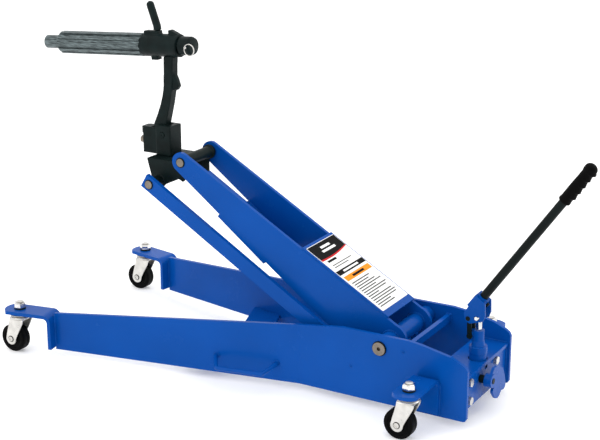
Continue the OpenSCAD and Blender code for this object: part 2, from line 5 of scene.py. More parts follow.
import bmesh
import bpy
from mathutils import Matrix, Vector


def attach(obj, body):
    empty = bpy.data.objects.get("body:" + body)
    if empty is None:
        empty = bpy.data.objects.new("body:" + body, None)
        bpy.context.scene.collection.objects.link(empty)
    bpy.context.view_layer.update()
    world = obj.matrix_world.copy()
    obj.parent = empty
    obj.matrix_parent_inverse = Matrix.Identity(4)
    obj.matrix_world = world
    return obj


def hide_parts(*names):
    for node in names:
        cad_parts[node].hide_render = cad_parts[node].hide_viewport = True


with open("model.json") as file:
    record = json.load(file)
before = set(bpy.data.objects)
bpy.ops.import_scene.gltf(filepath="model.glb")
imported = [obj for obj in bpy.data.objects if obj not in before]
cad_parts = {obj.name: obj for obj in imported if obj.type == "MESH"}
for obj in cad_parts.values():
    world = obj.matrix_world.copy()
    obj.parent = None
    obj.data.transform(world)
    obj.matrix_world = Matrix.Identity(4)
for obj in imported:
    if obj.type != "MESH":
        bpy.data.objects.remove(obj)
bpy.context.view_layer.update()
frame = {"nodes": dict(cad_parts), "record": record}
NODES = frame["nodes"]

MM = 0.001
PIVOT_X = 0.260
ARM_ANGLE = math.radians(30.8)
TOP_SLOPE = math.atan(11 / 540)
SHAFT_TILT = math.radians(3.7)
HANDLE_ANGLE = math.radians(55.1)
SPLAY = math.radians(11)
AXLE_R = 0.004


# ---------- frames of the moving parts, at rest ----------

def at(x, y, z):
    """A point in millimetres from the main pivot's foot, in the CAD frame."""
    return Vector((x * MM + PIVOT_X, y * MM, z * MM))


def turn_y(angle):
    return Matrix.Rotation(angle, 4, "Y")


def arm_frame():
    """Origin at the main pivot, x towards the head pin, z up from the arm's centre line."""
    flip = Matrix.Diagonal((-1, 1, 1, 1))
    return Matrix.Translation(at(0, 0, 137)) @ turn_y(ARM_ANGLE) @ flip


def top_frame():
    """Origin on the arms' top edge, x along it towards the head."""
    return arm_frame() @ Matrix.Translation((0.060, 0, 0.03305)) @ turn_y(TOP_SLOPE)


def shaft_frame():
    return Matrix.Translation(at(-606, 0, 683)) @ turn_y(-SHAFT_TILT)


def handle_frame():
    return Matrix.Translation(at(149, 0, 198)) @ turn_y(math.pi / 2 - HANDLE_ANGLE)


# ---------- materials ----------

def new_material(name):
    m = bpy.data.materials.new(name)
    m.use_nodes = True
    tree = m.node_tree
    shader = tree.nodes["Principled BSDF"]
    return m, tree, shader


def node(tree, kind, **values):
    n = tree.nodes.new(kind)
    for key, value in values.items():
        if hasattr(n, key):
            setattr(n, key, value)
        else:
            n.inputs[key].default_value = value
    return n


def object_coords(tree, scale=(1, 1, 1)):
    coords = node(tree, "ShaderNodeTexCoord")
    mapping = node(tree, "ShaderNodeMapping")
    mapping.inputs["Scale"].default_value = scale
    tree.links.new(coords.outputs["Object"], mapping.inputs["Vector"])
    return mapping.outputs["Vector"]


def noise(tree, vector, scale, detail=3.0, rough=0.5):
    n = node(tree, "ShaderNodeTexNoise")
    n.inputs["Scale"].default_value = scale
    n.inputs["Detail"].default_value = detail
    n.inputs["Roughness"].default_value = rough
    tree.links.new(vector, n.inputs["Vector"])
    return n.outputs["Fac"]


def ramp(tree, fac, stops):
    """A colour ramp with (position, colour) stops."""
    r = node(tree, "ShaderNodeValToRGB")
    elements = r.color_ramp.elements
    for i, (pos, color) in enumerate(stops):
        e = elements[i] if i < 2 else elements.new(pos)
        e.position = pos
        e.color = (*color, 1)
    tree.links.new(fac, r.inputs["Fac"])
    return r.outputs["Color"]


def to_range(tree, fac, low, high, start=0.3, end=0.7):
    r = node(tree, "ShaderNodeMapRange")
    r.inputs["From Min"].default_value = start
    r.inputs["From Max"].default_value = end
    r.inputs["To Min"].default_value = low
    r.inputs["To Max"].default_value = high
    tree.links.new(fac, r.inputs["Value"])
    return r.outputs["Result"]


def bump(tree, height, distance, strength, shader, under=None):
    b = node(tree, "ShaderNodeBump")
    b.inputs["Distance"].default_value = distance
    b.inputs["Strength"].default_value = strength
    tree.links.new(height, b.inputs["Height"])
    if under is not None:
        tree.links.new(under, b.inputs["Normal"])
    tree.links.new(b.outputs["Normal"], shader.inputs["Normal"])
    return b.outputs["Normal"]


def shade(color, factor):
    return tuple(min(1.0, c * factor) for c in color)


def speckled(name, color, rough, metallic=0.0, spread=0.12, grain=260.0, height=0.00012,
             patch=9.0, coat=0.0, specular=0.5, stretch=(1, 1, 1)):
    """A surface with patchy colour, uneven gloss and a fine relief."""
    m, tree, shader = new_material(name)
    vector = object_coords(tree, stretch)
    patches = noise(tree, vector, patch, 4.0)
    fine = noise(tree, vector, grain, 2.0)
    tint = ramp(tree, patches, [(0.3, shade(color, 1 - spread)), (0.7, shade(color, 1 + spread))])
    tree.links.new(tint, shader.inputs["Base Color"])
    gloss = noise(tree, vector, patch * 3.1, 5.0, 0.6)
    tree.links.new(to_range(tree, gloss, rough * 0.85, rough * 1.2), shader.inputs["Roughness"])
    shader.inputs["Metallic"].default_value = metallic
    shader.inputs["Coat Weight"].default_value = coat
    shader.inputs["Coat Roughness"].default_value = 0.12
    shader.inputs["Specular IOR Level"].default_value = specular
    bump(tree, fine, height, 0.35, shader)
    return m


def turned_steel(name, color, rough, axis_scale, rings=900.0):
    """Machined steel with fine lathe lines across the axis with the large scale."""
    m, tree, shader = new_material(name)
    vector = object_coords(tree, axis_scale)
    lines = noise(tree, vector, rings, 2.0)
    patches = noise(tree, object_coords(tree), 60.0, 4.0)
    tint = ramp(tree, patches, [(0.3, shade(color, 0.8)), (0.7, shade(color, 1.12))])
    tree.links.new(tint, shader.inputs["Base Color"])
    tree.links.new(to_range(tree, lines, rough * 0.7, rough * 1.3), shader.inputs["Roughness"])
    shader.inputs["Metallic"].default_value = 1.0
    bump(tree, lines, 0.00005, 0.3, shader)
    return m


def spline_with_painted_light(name, color):
    """Steel with a painted highlight in bright streaks on the crests of the teeth and painted shade darkening
    the grooves.
    """
    m, tree, shader = new_material(name)
    vector = object_coords(tree)
    long_lines = noise(tree, object_coords(tree, (4, 60, 60)), 12.0, 5.0, 0.65)
    pits = noise(tree, vector, 420.0, 3.0)
    geometry = node(tree, "ShaderNodeNewGeometry")
    # painted highlight: streaks along the shaft, up to four times the base colour, shown on the crests
    crest_highlight = ramp(tree, long_lines, [(0.40, shade(color, 0.6)), (0.64, shade(color, 4.0))])
    crest = to_range(tree, geometry.outputs["Pointiness"], 0.0, 1.0, 0.47, 0.53)
    mix = node(tree, "ShaderNodeMix", data_type="RGBA")
    tree.links.new(crest, mix.inputs["Factor"])
    tree.links.new(crest_highlight, mix.inputs[7])
    # painted shade: the grooves between the teeth at an eighth of the base colour
    mix.inputs[6].default_value = (*shade(color, 0.12), 1)
    tree.links.new(mix.outputs[2], shader.inputs["Base Color"])
    tree.links.new(to_range(tree, long_lines, 0.3, 0.55), shader.inputs["Roughness"])
    shader.inputs["Metallic"].default_value = 0.85
    bump(tree, pits, 0.0001, 0.3, shader)
    return m


BLUE = (0.0006, 0.062, 0.31)
BLACK = (0.0035, 0.0085, 0.0085)
ZINC = (0.60, 0.585, 0.555)

M = {
    "frame_paint": speckled("frame_paint", BLUE, 0.24, spread=0.08, patch=6.0, specular=0.09),
    "weld_paint": speckled("weld_paint", shade(BLUE, 0.95), 0.4, spread=0.15, patch=60.0,
                           grain=700.0, height=0.0004, specular=0.06),
    "head_black": speckled("head_black", BLACK, 0.42, spread=0.35, patch=40.0, grain=420.0,
                           height=0.0003, specular=0.09),
    "tube_black": speckled("tube_black", shade(BLACK, 0.6), 0.36, spread=0.3, patch=30.0,
                           grain=500.0, height=0.0002, specular=0.10),
    "zinc_plate": speckled("zinc_plate", ZINC, 0.30, metallic=0.9, spread=0.14, patch=55.0,
                           grain=300.0, height=0.00015),
    "pin_steel": turned_steel("pin_steel", (0.21, 0.18, 0.15), 0.36, (1, 1, 1), 350.0),
    "bright_steel": turned_steel("bright_steel", (0.62, 0.62, 0.60), 0.26, (1, 30, 1), 60.0),
    "chrome_rod": turned_steel("chrome_rod", (0.62, 0.63, 0.64), 0.10, (1, 1, 12), 80.0),
    "spline_steel": spline_with_painted_light("spline_steel", (0.050, 0.062, 0.064)),
    "nut_chrome": speckled("nut_chrome", (0.70, 0.69, 0.68), 0.10, metallic=1.0, spread=0.2,
                           patch=90.0, grain=300.0, height=0.0001),
    "wheel_tread": speckled("wheel_tread", (0.0012, 0.0012, 0.0014), 0.5, spread=0.3, patch=80.0,
                            grain=600.0, height=0.0003, specular=0.05),
    "grip_rubber": speckled("grip_rubber", (0.0012, 0.0012, 0.0012), 0.55, spread=0.3, patch=90.0,
                            grain=800.0, height=0.0003, specular=0.05),
    "label_white": speckled("label_white", (0.84, 0.84, 0.83), 0.35, spread=0.02, patch=30.0,
                            grain=300.0, height=0.00003, specular=0.2),
    "label_black": speckled("label_black", (0.0012, 0.0012, 0.0014), 0.4, spread=0.2, patch=30.0,
                            grain=300.0, height=0.00003, specular=0.05),
    "label_red": speckled("label_red", (0.50, 0.008, 0.012), 0.4, spread=0.1, patch=30.0,
                          grain=300.0, height=0.00003, specular=0.1),
    "label_orange": speckled("label_orange", (0.85, 0.26, 0.008), 0.4, spread=0.05, patch=30.0,
                             grain=300.0, height=0.00003, specular=0.1),
    "label_grey": speckled("label_grey", (0.035, 0.035, 0.035), 0.4, spread=0.2, patch=200.0,
                           grain=300.0, height=0.00003, specular=0.1),
}

SLOT_MATERIAL = {
    "frame_paint": "frame_paint", "head_black": "head_black", "zinc_plate": "zinc_plate",
    "bright_steel": "pin_steel", "spline_steel": "spline_steel", "chrome_rod": "chrome_rod",
    "wheel_tread": "wheel_tread", "grip_rubber": "grip_rubber", "label": "label_white",
}


def paint_nodes():
    """Gives every CAD node the material of its slot."""
    for part in frame["record"]["subparts"]:
        obj = NODES[part["node"]]
        kind = SLOT_MATERIAL[part["material_slot"]]
        if part["node"] == "handle_tube":
            kind = "tube_black"
        obj.data.materials.clear()
        obj.data.materials.append(M[kind])


def soften(names, width, segments=2):
    """Rounds the hard edges of CAD nodes."""
    for name in names:
        mod = NODES[name].modifiers.new("edges", "BEVEL")
        mod.width = width
        mod.segments = segments
        mod.limit_method = "ANGLE"
        mod.angle_limit = math.radians(35)
        mod.harden_normals = True
        mod.use_clamp_overlap = True


# ---------- mesh tools ----------

def mesh_object(name, bm, material, smooth=True, sharp=35):
    mesh = bpy.data.meshes.new(name)
    bmesh.ops.recalc_face_normals(bm, faces=bm.faces)
    bm.to_mesh(mesh)
    bm.free()
    obj = bpy.data.objects.new(name, mesh)
    bpy.context.collection.objects.link(obj)
    for m in material if isinstance(material, (list, tuple)) else [material]:
        mesh.materials.append(m)
    if smooth:
        mesh.polygons.foreach_set("use_smooth", [True] * len(mesh.polygons))
        mesh.set_sharp_from_angle(angle=math.radians(sharp))
    return obj


def finish_piece(obj, body, replaces=()):
    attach(obj, body)
    if replaces:
        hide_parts(*replaces)
    return obj


def lathe(bm, profile, frame_matrix, steps=48, closed=False):
    """Turns a list of (radius, height) about the frame's z axis."""
    rings = []
    for radius, height in profile:
        if radius < 1e-7:
            rings.append([bm.verts.new(frame_matrix @ Vector((0, 0, height)))])
            continue
        ring = []
        for i in range(steps):
            a = 2 * math.pi * i / steps
            ring.append(bm.verts.new(frame_matrix @ Vector(
                (radius * math.cos(a), radius * math.sin(a), height))))
        rings.append(ring)
    pairs = list(zip(rings, rings[1:]))
    if closed:
        pairs.append((rings[-1], rings[0]))
    for a, b in pairs:
        for i in range(steps):
            j = (i + 1) % steps
            quad = [a[i % len(a)], a[j % len(a)], b[j % len(b)], b[i % len(b)]]
            unique = []
            for v in quad:
                if v not in unique:
                    unique.append(v)
            if len(unique) > 2:
                bm.faces.new(unique)


def sweep(bm, points, radius_at, sides=10, closed=False):
    """A tube along points; radius_at(i, length so far) gives its radius."""
    n = len(points)
    rings = []
    side = None
    length = 0.0
    for i, p in enumerate(points):
        before = points[i - 1] if (i or closed) else p
        after = points[(i + 1) % n] if (i < n - 1 or closed) else p
        along = (after - before).normalized()
        if i:
            length += (p - points[i - 1]).length
        if side is None:
            side = along.orthogonal().normalized()
        side = (side - along * side.dot(along)).normalized()
        up = along.cross(side)
        r = radius_at(i, length)
        ring = []
        for k in range(sides):
            a = 2 * math.pi * k / sides
            ring.append(bm.verts.new(p + (side * math.cos(a) + up * math.sin(a)) * r))
        rings.append(ring)
    spans = list(zip(rings, rings[1:]))
    if closed:
        spans.append((rings[-1], rings[0]))
    for a, b in spans:
        for k in range(sides):
            m = (k + 1) % sides
            bm.faces.new([a[k], a[m], b[m], b[k]])
    if not closed:
        bm.faces.new(list(reversed(rings[0])))
        bm.faces.new(rings[-1])


def resample(points, step, closed=False):
    """Points at even steps along a polyline."""
    pts = [Vector(p) for p in points]
    if closed:
        pts.append(pts[0].copy())
    out = [pts[0].copy()]
    left = step
    for a, b in zip(pts, pts[1:]):
        span = (b - a).length
        where = left
        while where < span - 1e-9:
            out.append(a.lerp(b, where / span))
            where += step
        left = where - span
    if not closed and (out[-1] - pts[-1]).length > step * 0.3:
        out.append(pts[-1].copy())
    return out


def weld(name, points, radius, body, closed=False, material="weld_paint"):
    """A weld bead with ripples along a path."""
    ripple = 0.0032
    path = resample(points, 0.0009, closed)
    bm = bmesh.new()

    def size(i, s):
        ends = 1.0 if closed else min(1.0, 0.45 + 0.2 * min(i, len(path) - 1 - i))
        return radius * ends * (0.86 + 0.2 * abs(math.sin(math.pi * s / ripple)))

    sweep(bm, path, size, 8, closed)
    return finish_piece(mesh_object(name, bm, M[material], sharp=60), body)


def circle(centre, radius, axis, start=0.0, end=360.0, steps=48):
    """Points on a circle about an axis through centre; whole circles don't repeat the first."""
    axis = Vector(axis).normalized()
    u = axis.orthogonal().normalized()
    v = axis.cross(u)
    whole = abs(end - start - 360) < 1e-6
    count = steps if whole else steps + 1
    pts = []
    for i in range(count):
        a = math.radians(start + (end - start) * i / steps)
        pts.append(Vector(centre) + (u * math.cos(a) + v * math.sin(a)) * radius)
    return pts


def rounded_path(points, radius, steps=8):
    """A polyline with its inner corners turned into arcs."""
    pts = [Vector(p) for p in points]
    out = [pts[0]]
    for a, b, c in zip(pts, pts[1:], pts[2:]):
        u = (a - b).normalized()
        v = (c - b).normalized()
        half = u.angle(v) / 2
        cut = radius / math.tan(half)
        start, end = b + u * cut, b + v * cut
        centre = b + (u + v).normalized() * (radius / math.sin(half))
        for i in range(steps + 1):
            t = i / steps
            way = (start - centre).lerp(end - centre, t).normalized()
            out.append(centre + way * radius)
    out.append(pts[-1])
    return out


# ---------- frame details ----------

FRONT_NUT = (-841.0, 237.6)
REAR_NUT = (110.0, 202.5)
SIDES = {"left": -1, "right": 1}
CASTERS = {
    "front_left": (FRONT_NUT, -1), "front_right": (FRONT_NUT, 1),
    "rear_left": (REAR_NUT, -1), "rear_right": (REAR_NUT, 1),
}


def bracket_frame(front, side):
    """Origin on the swivel axis, x towards the weld face, as in the CAD bracket."""
    nut = FRONT_NUT if front else REAR_NUT
    angle = -SPLAY if front else -math.pi / 2
    base = Matrix.Translation(at(nut[0], nut[1], 0)) @ Matrix.Rotation(angle, 4, "Z")
    if side < 0:
        return Matrix.Diagonal((1, -1, 1, 1)) @ base
    return base


def mm_path(matrix, points):
    return [matrix @ (Vector(p) * MM) for p in points]


def plug_weld(name, place, side):
    """A low dome of weld, ground and painted over."""
    bm = bmesh.new()
    out = Matrix.Translation(place) @ Matrix.Rotation(-side * math.pi / 2, 4, "X")
    dome = [(0, 1.7), (1.6, 1.5), (3.0, 1.0), (4.0, 0.4), (4.6, -0.3), (0, -0.3)]
    lathe(bm, [(r * MM, z * MM) for r, z in dome], out, 28)
    return finish_piece(mesh_object(name, bm, M["weld_paint"], sharp=60), "base")


def pin_collars():
    """Dark retaining washers round the ends of the head pins."""
    ends = (
        ("upper", (-515.4, 444.2), 62.6, "lift_arms", 13.4),
        ("lower", (-581.4, 392.2), 90.1, "yoke", 13.0),
    )
    for tag, (x, z), y, body, radius in ends:
        bm = bmesh.new()
        for s in SIDES.values():
            out = Matrix.Translation(at(x, y * s, z)) @ Matrix.Rotation(-s * math.pi / 2, 4, "X")
            ring = [
                (9.1, 0.25), (radius - 2.6, 0.25), (radius - 2.2, 0.7),
                (radius - 2.4, 1.8), (9.3, 2.0), (9.1, 1.8),
            ]
            lathe(bm, [(r * MM, h * MM) for r, h in ring], out, 40, closed=True)
        finish_piece(mesh_object("pin_washers_" + tag, bm, M["head_black"], sharp=40), body)


def frame_welds():
    for side_name, s in SIDES.items():
        y = 106.3 * s
        weld("weld_bar_" + side_name, [at(x, y, z) for x, z in
             ((47.5, 133), (47.5, 148.5), (58.5, 148.5), (58.5, 133))], 0.0022, "base")
        weld("weld_shelf_" + side_name, [at(118, y, 110.2), at(188, y, 110.2)], 0.0022, "base")
        weld("weld_panel_" + side_name, [at(186.4, y, 100), at(186.4, y, 38)], 0.0022, "base")
        weld("weld_pin_" + side_name, circle(at(0, 114.7 * s, 137), 0.0150, (0, 1, 0)),
             0.0010, "base", closed=True)
        for tag, x, z in (("bar", 53, 141), ("stud", -66, 85)):
            plug_weld("plug_weld_" + tag + "_" + side_name, at(x, 114.3 * s, z), s)
        leg = bracket_frame(True, s)
        for tag, lateral in (("a", 4.3), ("b", -4.3)):
            weld("weld_front_" + side_name + "_" + tag,
                 mm_path(leg, [(88.3, lateral, 26), (88.3, lateral, 99)]), 0.0028, "base")
        rear = bracket_frame(False, s)
        weld("weld_rear_" + side_name, mm_path(rear, [
            (87.6, -26.2, 88), (87.6, -26.2, 23.8), (87.6, 26.2, 23.8), (87.6, 26.2, 88)]),
            0.0026, "base")
        weld("weld_cross_" + side_name, [at(-468, 164.6 * s, 45.4), at(-394, 150.2 * s, 45.4)],
             0.0024, "base")


def leg_handles():
    """Bent rods on the outside of the legs."""
    bm = bmesh.new()
    rod_r = 0.0045
    feet = []
    for s in SIDES.values():
        out = Vector((math.sin(SPLAY), s * math.cos(SPLAY), 0))
        along = Vector((math.cos(SPLAY), -s * math.sin(SPLAY), 0))
        down = Vector((0, 0, -0.009))
        a = at(-372, 0, 57)
        b = at(-237, 0, 57)
        a.y = s * (0.1145 + 0.185 * math.tan(SPLAY))
        b.y = s * (0.1145 + 0.050 * math.tan(SPLAY))
        a2 = a + out * 0.046 + along * 0.018 + down
        b2 = b + out * 0.046 - along * 0.018 + down
        corners = [a - out * 0.001, a + out * 0.007, a2, b2, b + out * 0.007, b - out * 0.001]
        path = rounded_path(corners, 0.0065, 6)
        sweep(bm, path, lambda i, t: rod_r, 16)
        feet += [(s, a, out), (s, b, out)]
    obj = mesh_object("leg_handle_rods", bm, M["frame_paint"], sharp=60)
    finish_piece(obj, "base", ["leg_handles"])
    for i, (s, foot, out) in enumerate(feet):
        weld("weld_handle_%d" % i, circle(foot + out * 0.0004, rod_r + 0.0008, out, steps=24),
             0.0018, "base", closed=True)


def arm_welds():
    top = top_frame()
    arm = arm_frame()
    for side_name, s in SIDES.items():
        for tag, y in (("outer", 62.6), ("inner", 54.4)):
            weld("weld_hub_%s_%s" % (tag, side_name), circle(at(0, y * s, 137), 0.0206, (0, 1, 0)),
                 0.0022, "lift_arms", closed=True)
        weld("weld_top_plate_" + side_name, mm_path(top, [(-27, 61.6 * s, 0.3), (204, 61.6 * s, 0.3)]),
             0.0014, "lift_arms")
        weld("weld_brace_" + side_name, mm_path(arm, [(322, 54.2 * s, -53.2), (462, 54.2 * s, -37.4)]),
             0.0024, "lift_arms")
        weld("weld_lug_" + side_name, [at(x, 21.7 * s, 137 - 19.5) for x in (-18, 18)], 0.0022,
             "lift_arms")


def head_welds():
    head = (-515.4, 444.2)
    low = (-581.4, 392.2)
    for side_name, s in SIDES.items():
        for tag, (x, z), r in (("upper", head, 13.4), ("lower", low, 12.9)):
            weld("weld_yoke_%s_%s" % (tag, side_name),
                 circle(at(x, 51.2 * s, z), r * MM, (0, 1, 0), steps=36), 0.0020, "yoke",
                 closed=True, material="head_black")


# ---------- casters ----------

def caster_axis(name):
    (x, y), s = CASTERS[name]
    return x, y * s


FORK_TRAIL = 17.0
FORK_HALF = 15.0
FORK_AXLE_Z = 31.75
FORK_TOP_Z = 83.0
FORK_EYE = 13.5


def fork_edges(z):
    """Front and rear edge of a fork leg at height z, in millimetres from the swivel axis."""
    if z < FORK_AXLE_Z:
        half = math.sqrt(max(FORK_EYE ** 2 - (FORK_AXLE_Z - z) ** 2, 0.0))
        return -FORK_TRAIL - half, -FORK_TRAIL + half
    t = (z - FORK_AXLE_Z) / (77.0 - FORK_AXLE_Z)
    t = min(max(t, 0.0), 1.0)
    ease = t * t * (3 - 2 * t) * 0.25 + t * 0.75
    front = -FORK_TRAIL - FORK_EYE + (FORK_TRAIL + FORK_EYE - 19.0) * ease
    rear = -FORK_TRAIL + FORK_EYE + (FORK_TRAIL - FORK_EYE + 18.5) * ease
    return front, rear


def fork_strip():
    """(y, z) along the middle of the bent strip, from one axle end over the top to the other."""
    bend = 4.0
    y0 = FORK_HALF + 1.2
    leg = [FORK_AXLE_Z - FORK_EYE * math.cos(math.pi / 2 * i / 8) for i in range(9)]
    leg += [36, 42, 50, 58, 66, 73, FORK_TOP_Z - 1.2 - bend]
    right = [(y0, z) for z in leg]
    for i in range(1, 6):
        a = math.pi / 2 * i / 5
        right.append((y0 - bend + bend * math.cos(a), FORK_TOP_Z - 1.2 - bend + bend * math.sin(a)))
    mid = [(y, FORK_TOP_Z - 1.2) for y in (8, 0, -8)]
    left = [(-y, z) for y, z in reversed(right)]
    return right + mid + left


def add_fork(bm, x0, y0):
    """The pressed fork: one strip, bent over the top from one axle end to the other."""
    across = 8
    rows = []
    for y, z in fork_strip():
        front, rear = fork_edges(z)
        row = []
        for i in range(across + 1):
            t = i / across
            x = front + (rear - front) * t
            row.append(bm.verts.new(at(x0 + x, y0 + y, z)))
        rows.append(row)
    for a, b in zip(rows, rows[1:]):
        for i in range(across):
            bm.faces.new([a[i], a[i + 1], b[i + 1], b[i]])


def casters():
    for name in CASTERS:
        x0, y0 = caster_axis(name)
        bm = bmesh.new()
        add_fork(bm, x0, y0)
        bmesh.ops.remove_doubles(bm, verts=bm.verts, dist=1e-6)
        fork = mesh_object("fork_plate_" + name, bm, M["zinc_plate"], sharp=50)
        thick = fork.modifiers.new("sheet", "SOLIDIFY")
        thick.thickness = 0.0025
        thick.offset = 0.0
        edge = fork.modifiers.new("edges", "BEVEL")
        edge.width = 0.0007
        edge.segments = 2
        edge.limit_method = "ANGLE"
        edge.angle_limit = math.radians(50)
        finish_piece(fork, "caster_" + name, ["caster_fork_" + name])

        bm = bmesh.new()
        upright = Matrix.Translation(at(x0, y0, 0))
        crown = [(6.2, 83.2), (21.0, 83.2), (22.3, 84.0), (22.6, 85.4), (21.6, 86.8), (18.5, 88.0),
                 (15.0, 89.3), (6.2, 89.4)]
        lathe(bm, [(r * MM, z * MM) for r, z in crown], upright, 56, closed=True)
        for s in SIDES.values():
            along_y = Matrix.Translation(at(x0 - FORK_TRAIL, y0, FORK_AXLE_Z)) @ \
                Matrix.Rotation(-s * math.pi / 2, 4, "X")
            rivet = [(0, 17.9), (3.3, 17.9), (3.5, 19.2), (4.6, 19.6), (5.7, 19.2), (6.2, 17.6),
                     (6.2, 16.9)]
            lathe(bm, [(r * MM, z * MM) for r, z in rivet], along_y, 32)
        axle = Matrix.Translation(at(x0 - FORK_TRAIL, y0, FORK_AXLE_Z)) @ \
            Matrix.Rotation(math.pi / 2, 4, "X")
        lathe(bm, [(0, -0.017), (AXLE_R, -0.017), (AXLE_R, 0.017), (0, 0.017)], axle, 24)
        crown_obj = mesh_object("fork_crown_" + name, bm, M["zinc_plate"], sharp=40)
        finish_piece(crown_obj, "caster_" + name)
        wheel(name, x0 - FORK_TRAIL, y0)


def wheel(name, x, y):
    """Solid rubber wheel with a dished side, a hub boss and a mould line."""
    bm = bmesh.new()
    side = [(4.2, 14.0), (8.6, 14.0), (9.6, 13.3), (10.2, 11.2), (12.0, 10.6), (20.5, 10.6),
            (22.3, 11.3), (23.2, 12.7), (24.2, 13.0), (28.6, 12.9), (30.2, 12.3), (31.3, 11.0),
            (31.7, 9.2), (31.75, 6.0), (31.75, 1.2), (31.55, 0.5)]
    profile = side + [(31.55, -0.5)] + [(r, -z) for r, z in reversed(side[:-1])]
    turn = Matrix.Translation(at(x, y, FORK_AXLE_Z)) @ Matrix.Rotation(math.pi / 2, 4, "X")
    lathe(bm, [(r * MM, z * MM) for r, z in profile], turn, 72, closed=True)
    obj = mesh_object("wheel_rubber_" + name, bm, M["wheel_tread"], sharp=40)
    finish_piece(obj, "wheel_" + name, ["wheel_" + name])


def caster_nut_stack():
    """Chrome hex nuts on dark spring washers, and dark rings of painted shade round the axle rivets."""
    nuts, washers = bmesh.new(), bmesh.new()
    for i, name in enumerate(CASTERS):
        x0, y0 = caster_axis(name)
        upright = Matrix.Translation(at(x0, y0, 0)) @ Matrix.Rotation(math.radians(13 + 17 * i), 4, "Z")
        hexagon = [(8.1, 106.2), (13.2, 106.2), (13.86, 107.0), (13.86, 115.6), (12.9, 117.6),
                   (11.6, 118.6), (8.6, 118.6), (8.1, 118.0)]
        lathe(nuts, [(r * MM, z * MM) for r, z in hexagon], upright, 6, closed=True)
        washer = [(8.1, 103.0), (12.6, 103.0), (13.0, 103.4), (13.0, 105.6), (12.6, 106.1), (8.1, 106.1)]
        lathe(washers, [(r * MM, z * MM) for r, z in washer], upright, 40, closed=True)
    obj = mesh_object("caster_cap_nuts", nuts, M["nut_chrome"], sharp=25)
    finish_piece(obj, "base", ["caster_nuts"])
    obj = mesh_object("caster_spring_washers", washers, M["head_black"], sharp=40)
    finish_piece(obj, "base")
    for name in CASTERS:
        x0, y0 = caster_axis(name)
        bm = bmesh.new()
        for s in SIDES.values():
            along_y = Matrix.Translation(at(x0 - FORK_TRAIL, y0, FORK_AXLE_Z)) @ \
                Matrix.Rotation(-s * math.pi / 2, 4, "X")
            # painted shade: a dark ring round the foot of each rivet head
            shade_ring = [(6.3, 17.3), (7.3, 17.3), (7.4, 17.9), (6.9, 18.2), (6.3, 18.0)]
            lathe(bm, [(r * MM, z * MM) for r, z in shade_ring], along_y, 32, closed=True)
        obj = mesh_object("axle_painted_shade_rings_" + name, bm, M["tube_black"], sharp=40)
        finish_piece(obj, "caster_" + name)


def caster_bolts():
    """Bolts with a pressed upper race and a thread end."""
    bm = bmesh.new()
    for name in CASTERS:
        x0, y0 = caster_axis(name)
        upright = Matrix.Translation(at(x0, y0, 0))
        race = [(6.5, 90.3), (20.0, 90.1), (22.6, 90.6), (23.0, 91.6), (21.8, 92.8), (18.2, 93.9),
                (17.2, 94.9), (6.5, 94.9)]
        lathe(bm, [(r * MM, z * MM) for r, z in race], upright, 56, closed=True)
        bolt = [(0, 75.0), (9.0, 75.0), (10.0, 76.0), (10.0, 79.0), (6.0, 79.0), (6.0, 94.0),
                (7.9, 94.5), (7.9, 118.0)]
        for i in range(4):
            z = 118.2 + 0.75 * i
            bolt += [(7.9, z), (7.35, z + 0.375)]
        bolt += [(6.8, 121.0), (0, 121.2)]
        lathe(bm, [(r * MM, z * MM) for r, z in bolt], upright, 40)
    obj = mesh_object("caster_bolts", bm, M["zinc_plate"], sharp=35)
    finish_piece(obj, "base", ["caster_stems"])


# ---------- head details ----------

def cast_from(name, piece, voxel, rounds, body, slot):
    """A cast copy of a CAD node, with its edges and corners worn round."""
    source = NODES[name]
    mesh = source.data.copy()
    obj = bpy.data.objects.new(piece, mesh)
    bpy.context.collection.objects.link(obj)
    remesh = obj.modifiers.new("voxels", "REMESH")
    remesh.mode = "VOXEL"
    remesh.voxel_size = voxel
    remesh.use_smooth_shade = True
    soft = obj.modifiers.new("soft", "SMOOTH")
    soft.factor = 0.5
    soft.iterations = rounds
    obj.data.materials.clear()
    obj.data.materials.append(M[slot])
    return finish_piece(obj, body, [name])


def clamp_lever():
    local = shaft_frame()
    path = rounded_path(mm_path(local, [(-3, 0, 16), (-3, 0, 41), (-19, 0, 96)]), 0.022, 10)
    path = resample(path, 0.002)
    bm = bmesh.new()
    total = sum((b - a).length for a, b in zip(path, path[1:]))
    dome = 0.0086
    neck_length = 0.0165
    neck_radius = 0.0049

    def size(i, s):
        if s < neck_length:
            return neck_radius
        left = total - s
        if left < dome:
            return max(dome * math.sqrt(max(1 - (1 - left / dome) ** 2, 0.0)), 0.0012)
        return dome

    sweep(bm, path, size, 28)
    obj = mesh_object("clamp_lever_rod", bm, M["head_black"], sharp=50)
    finish_piece(obj, "lever", ["clamp_lever"])


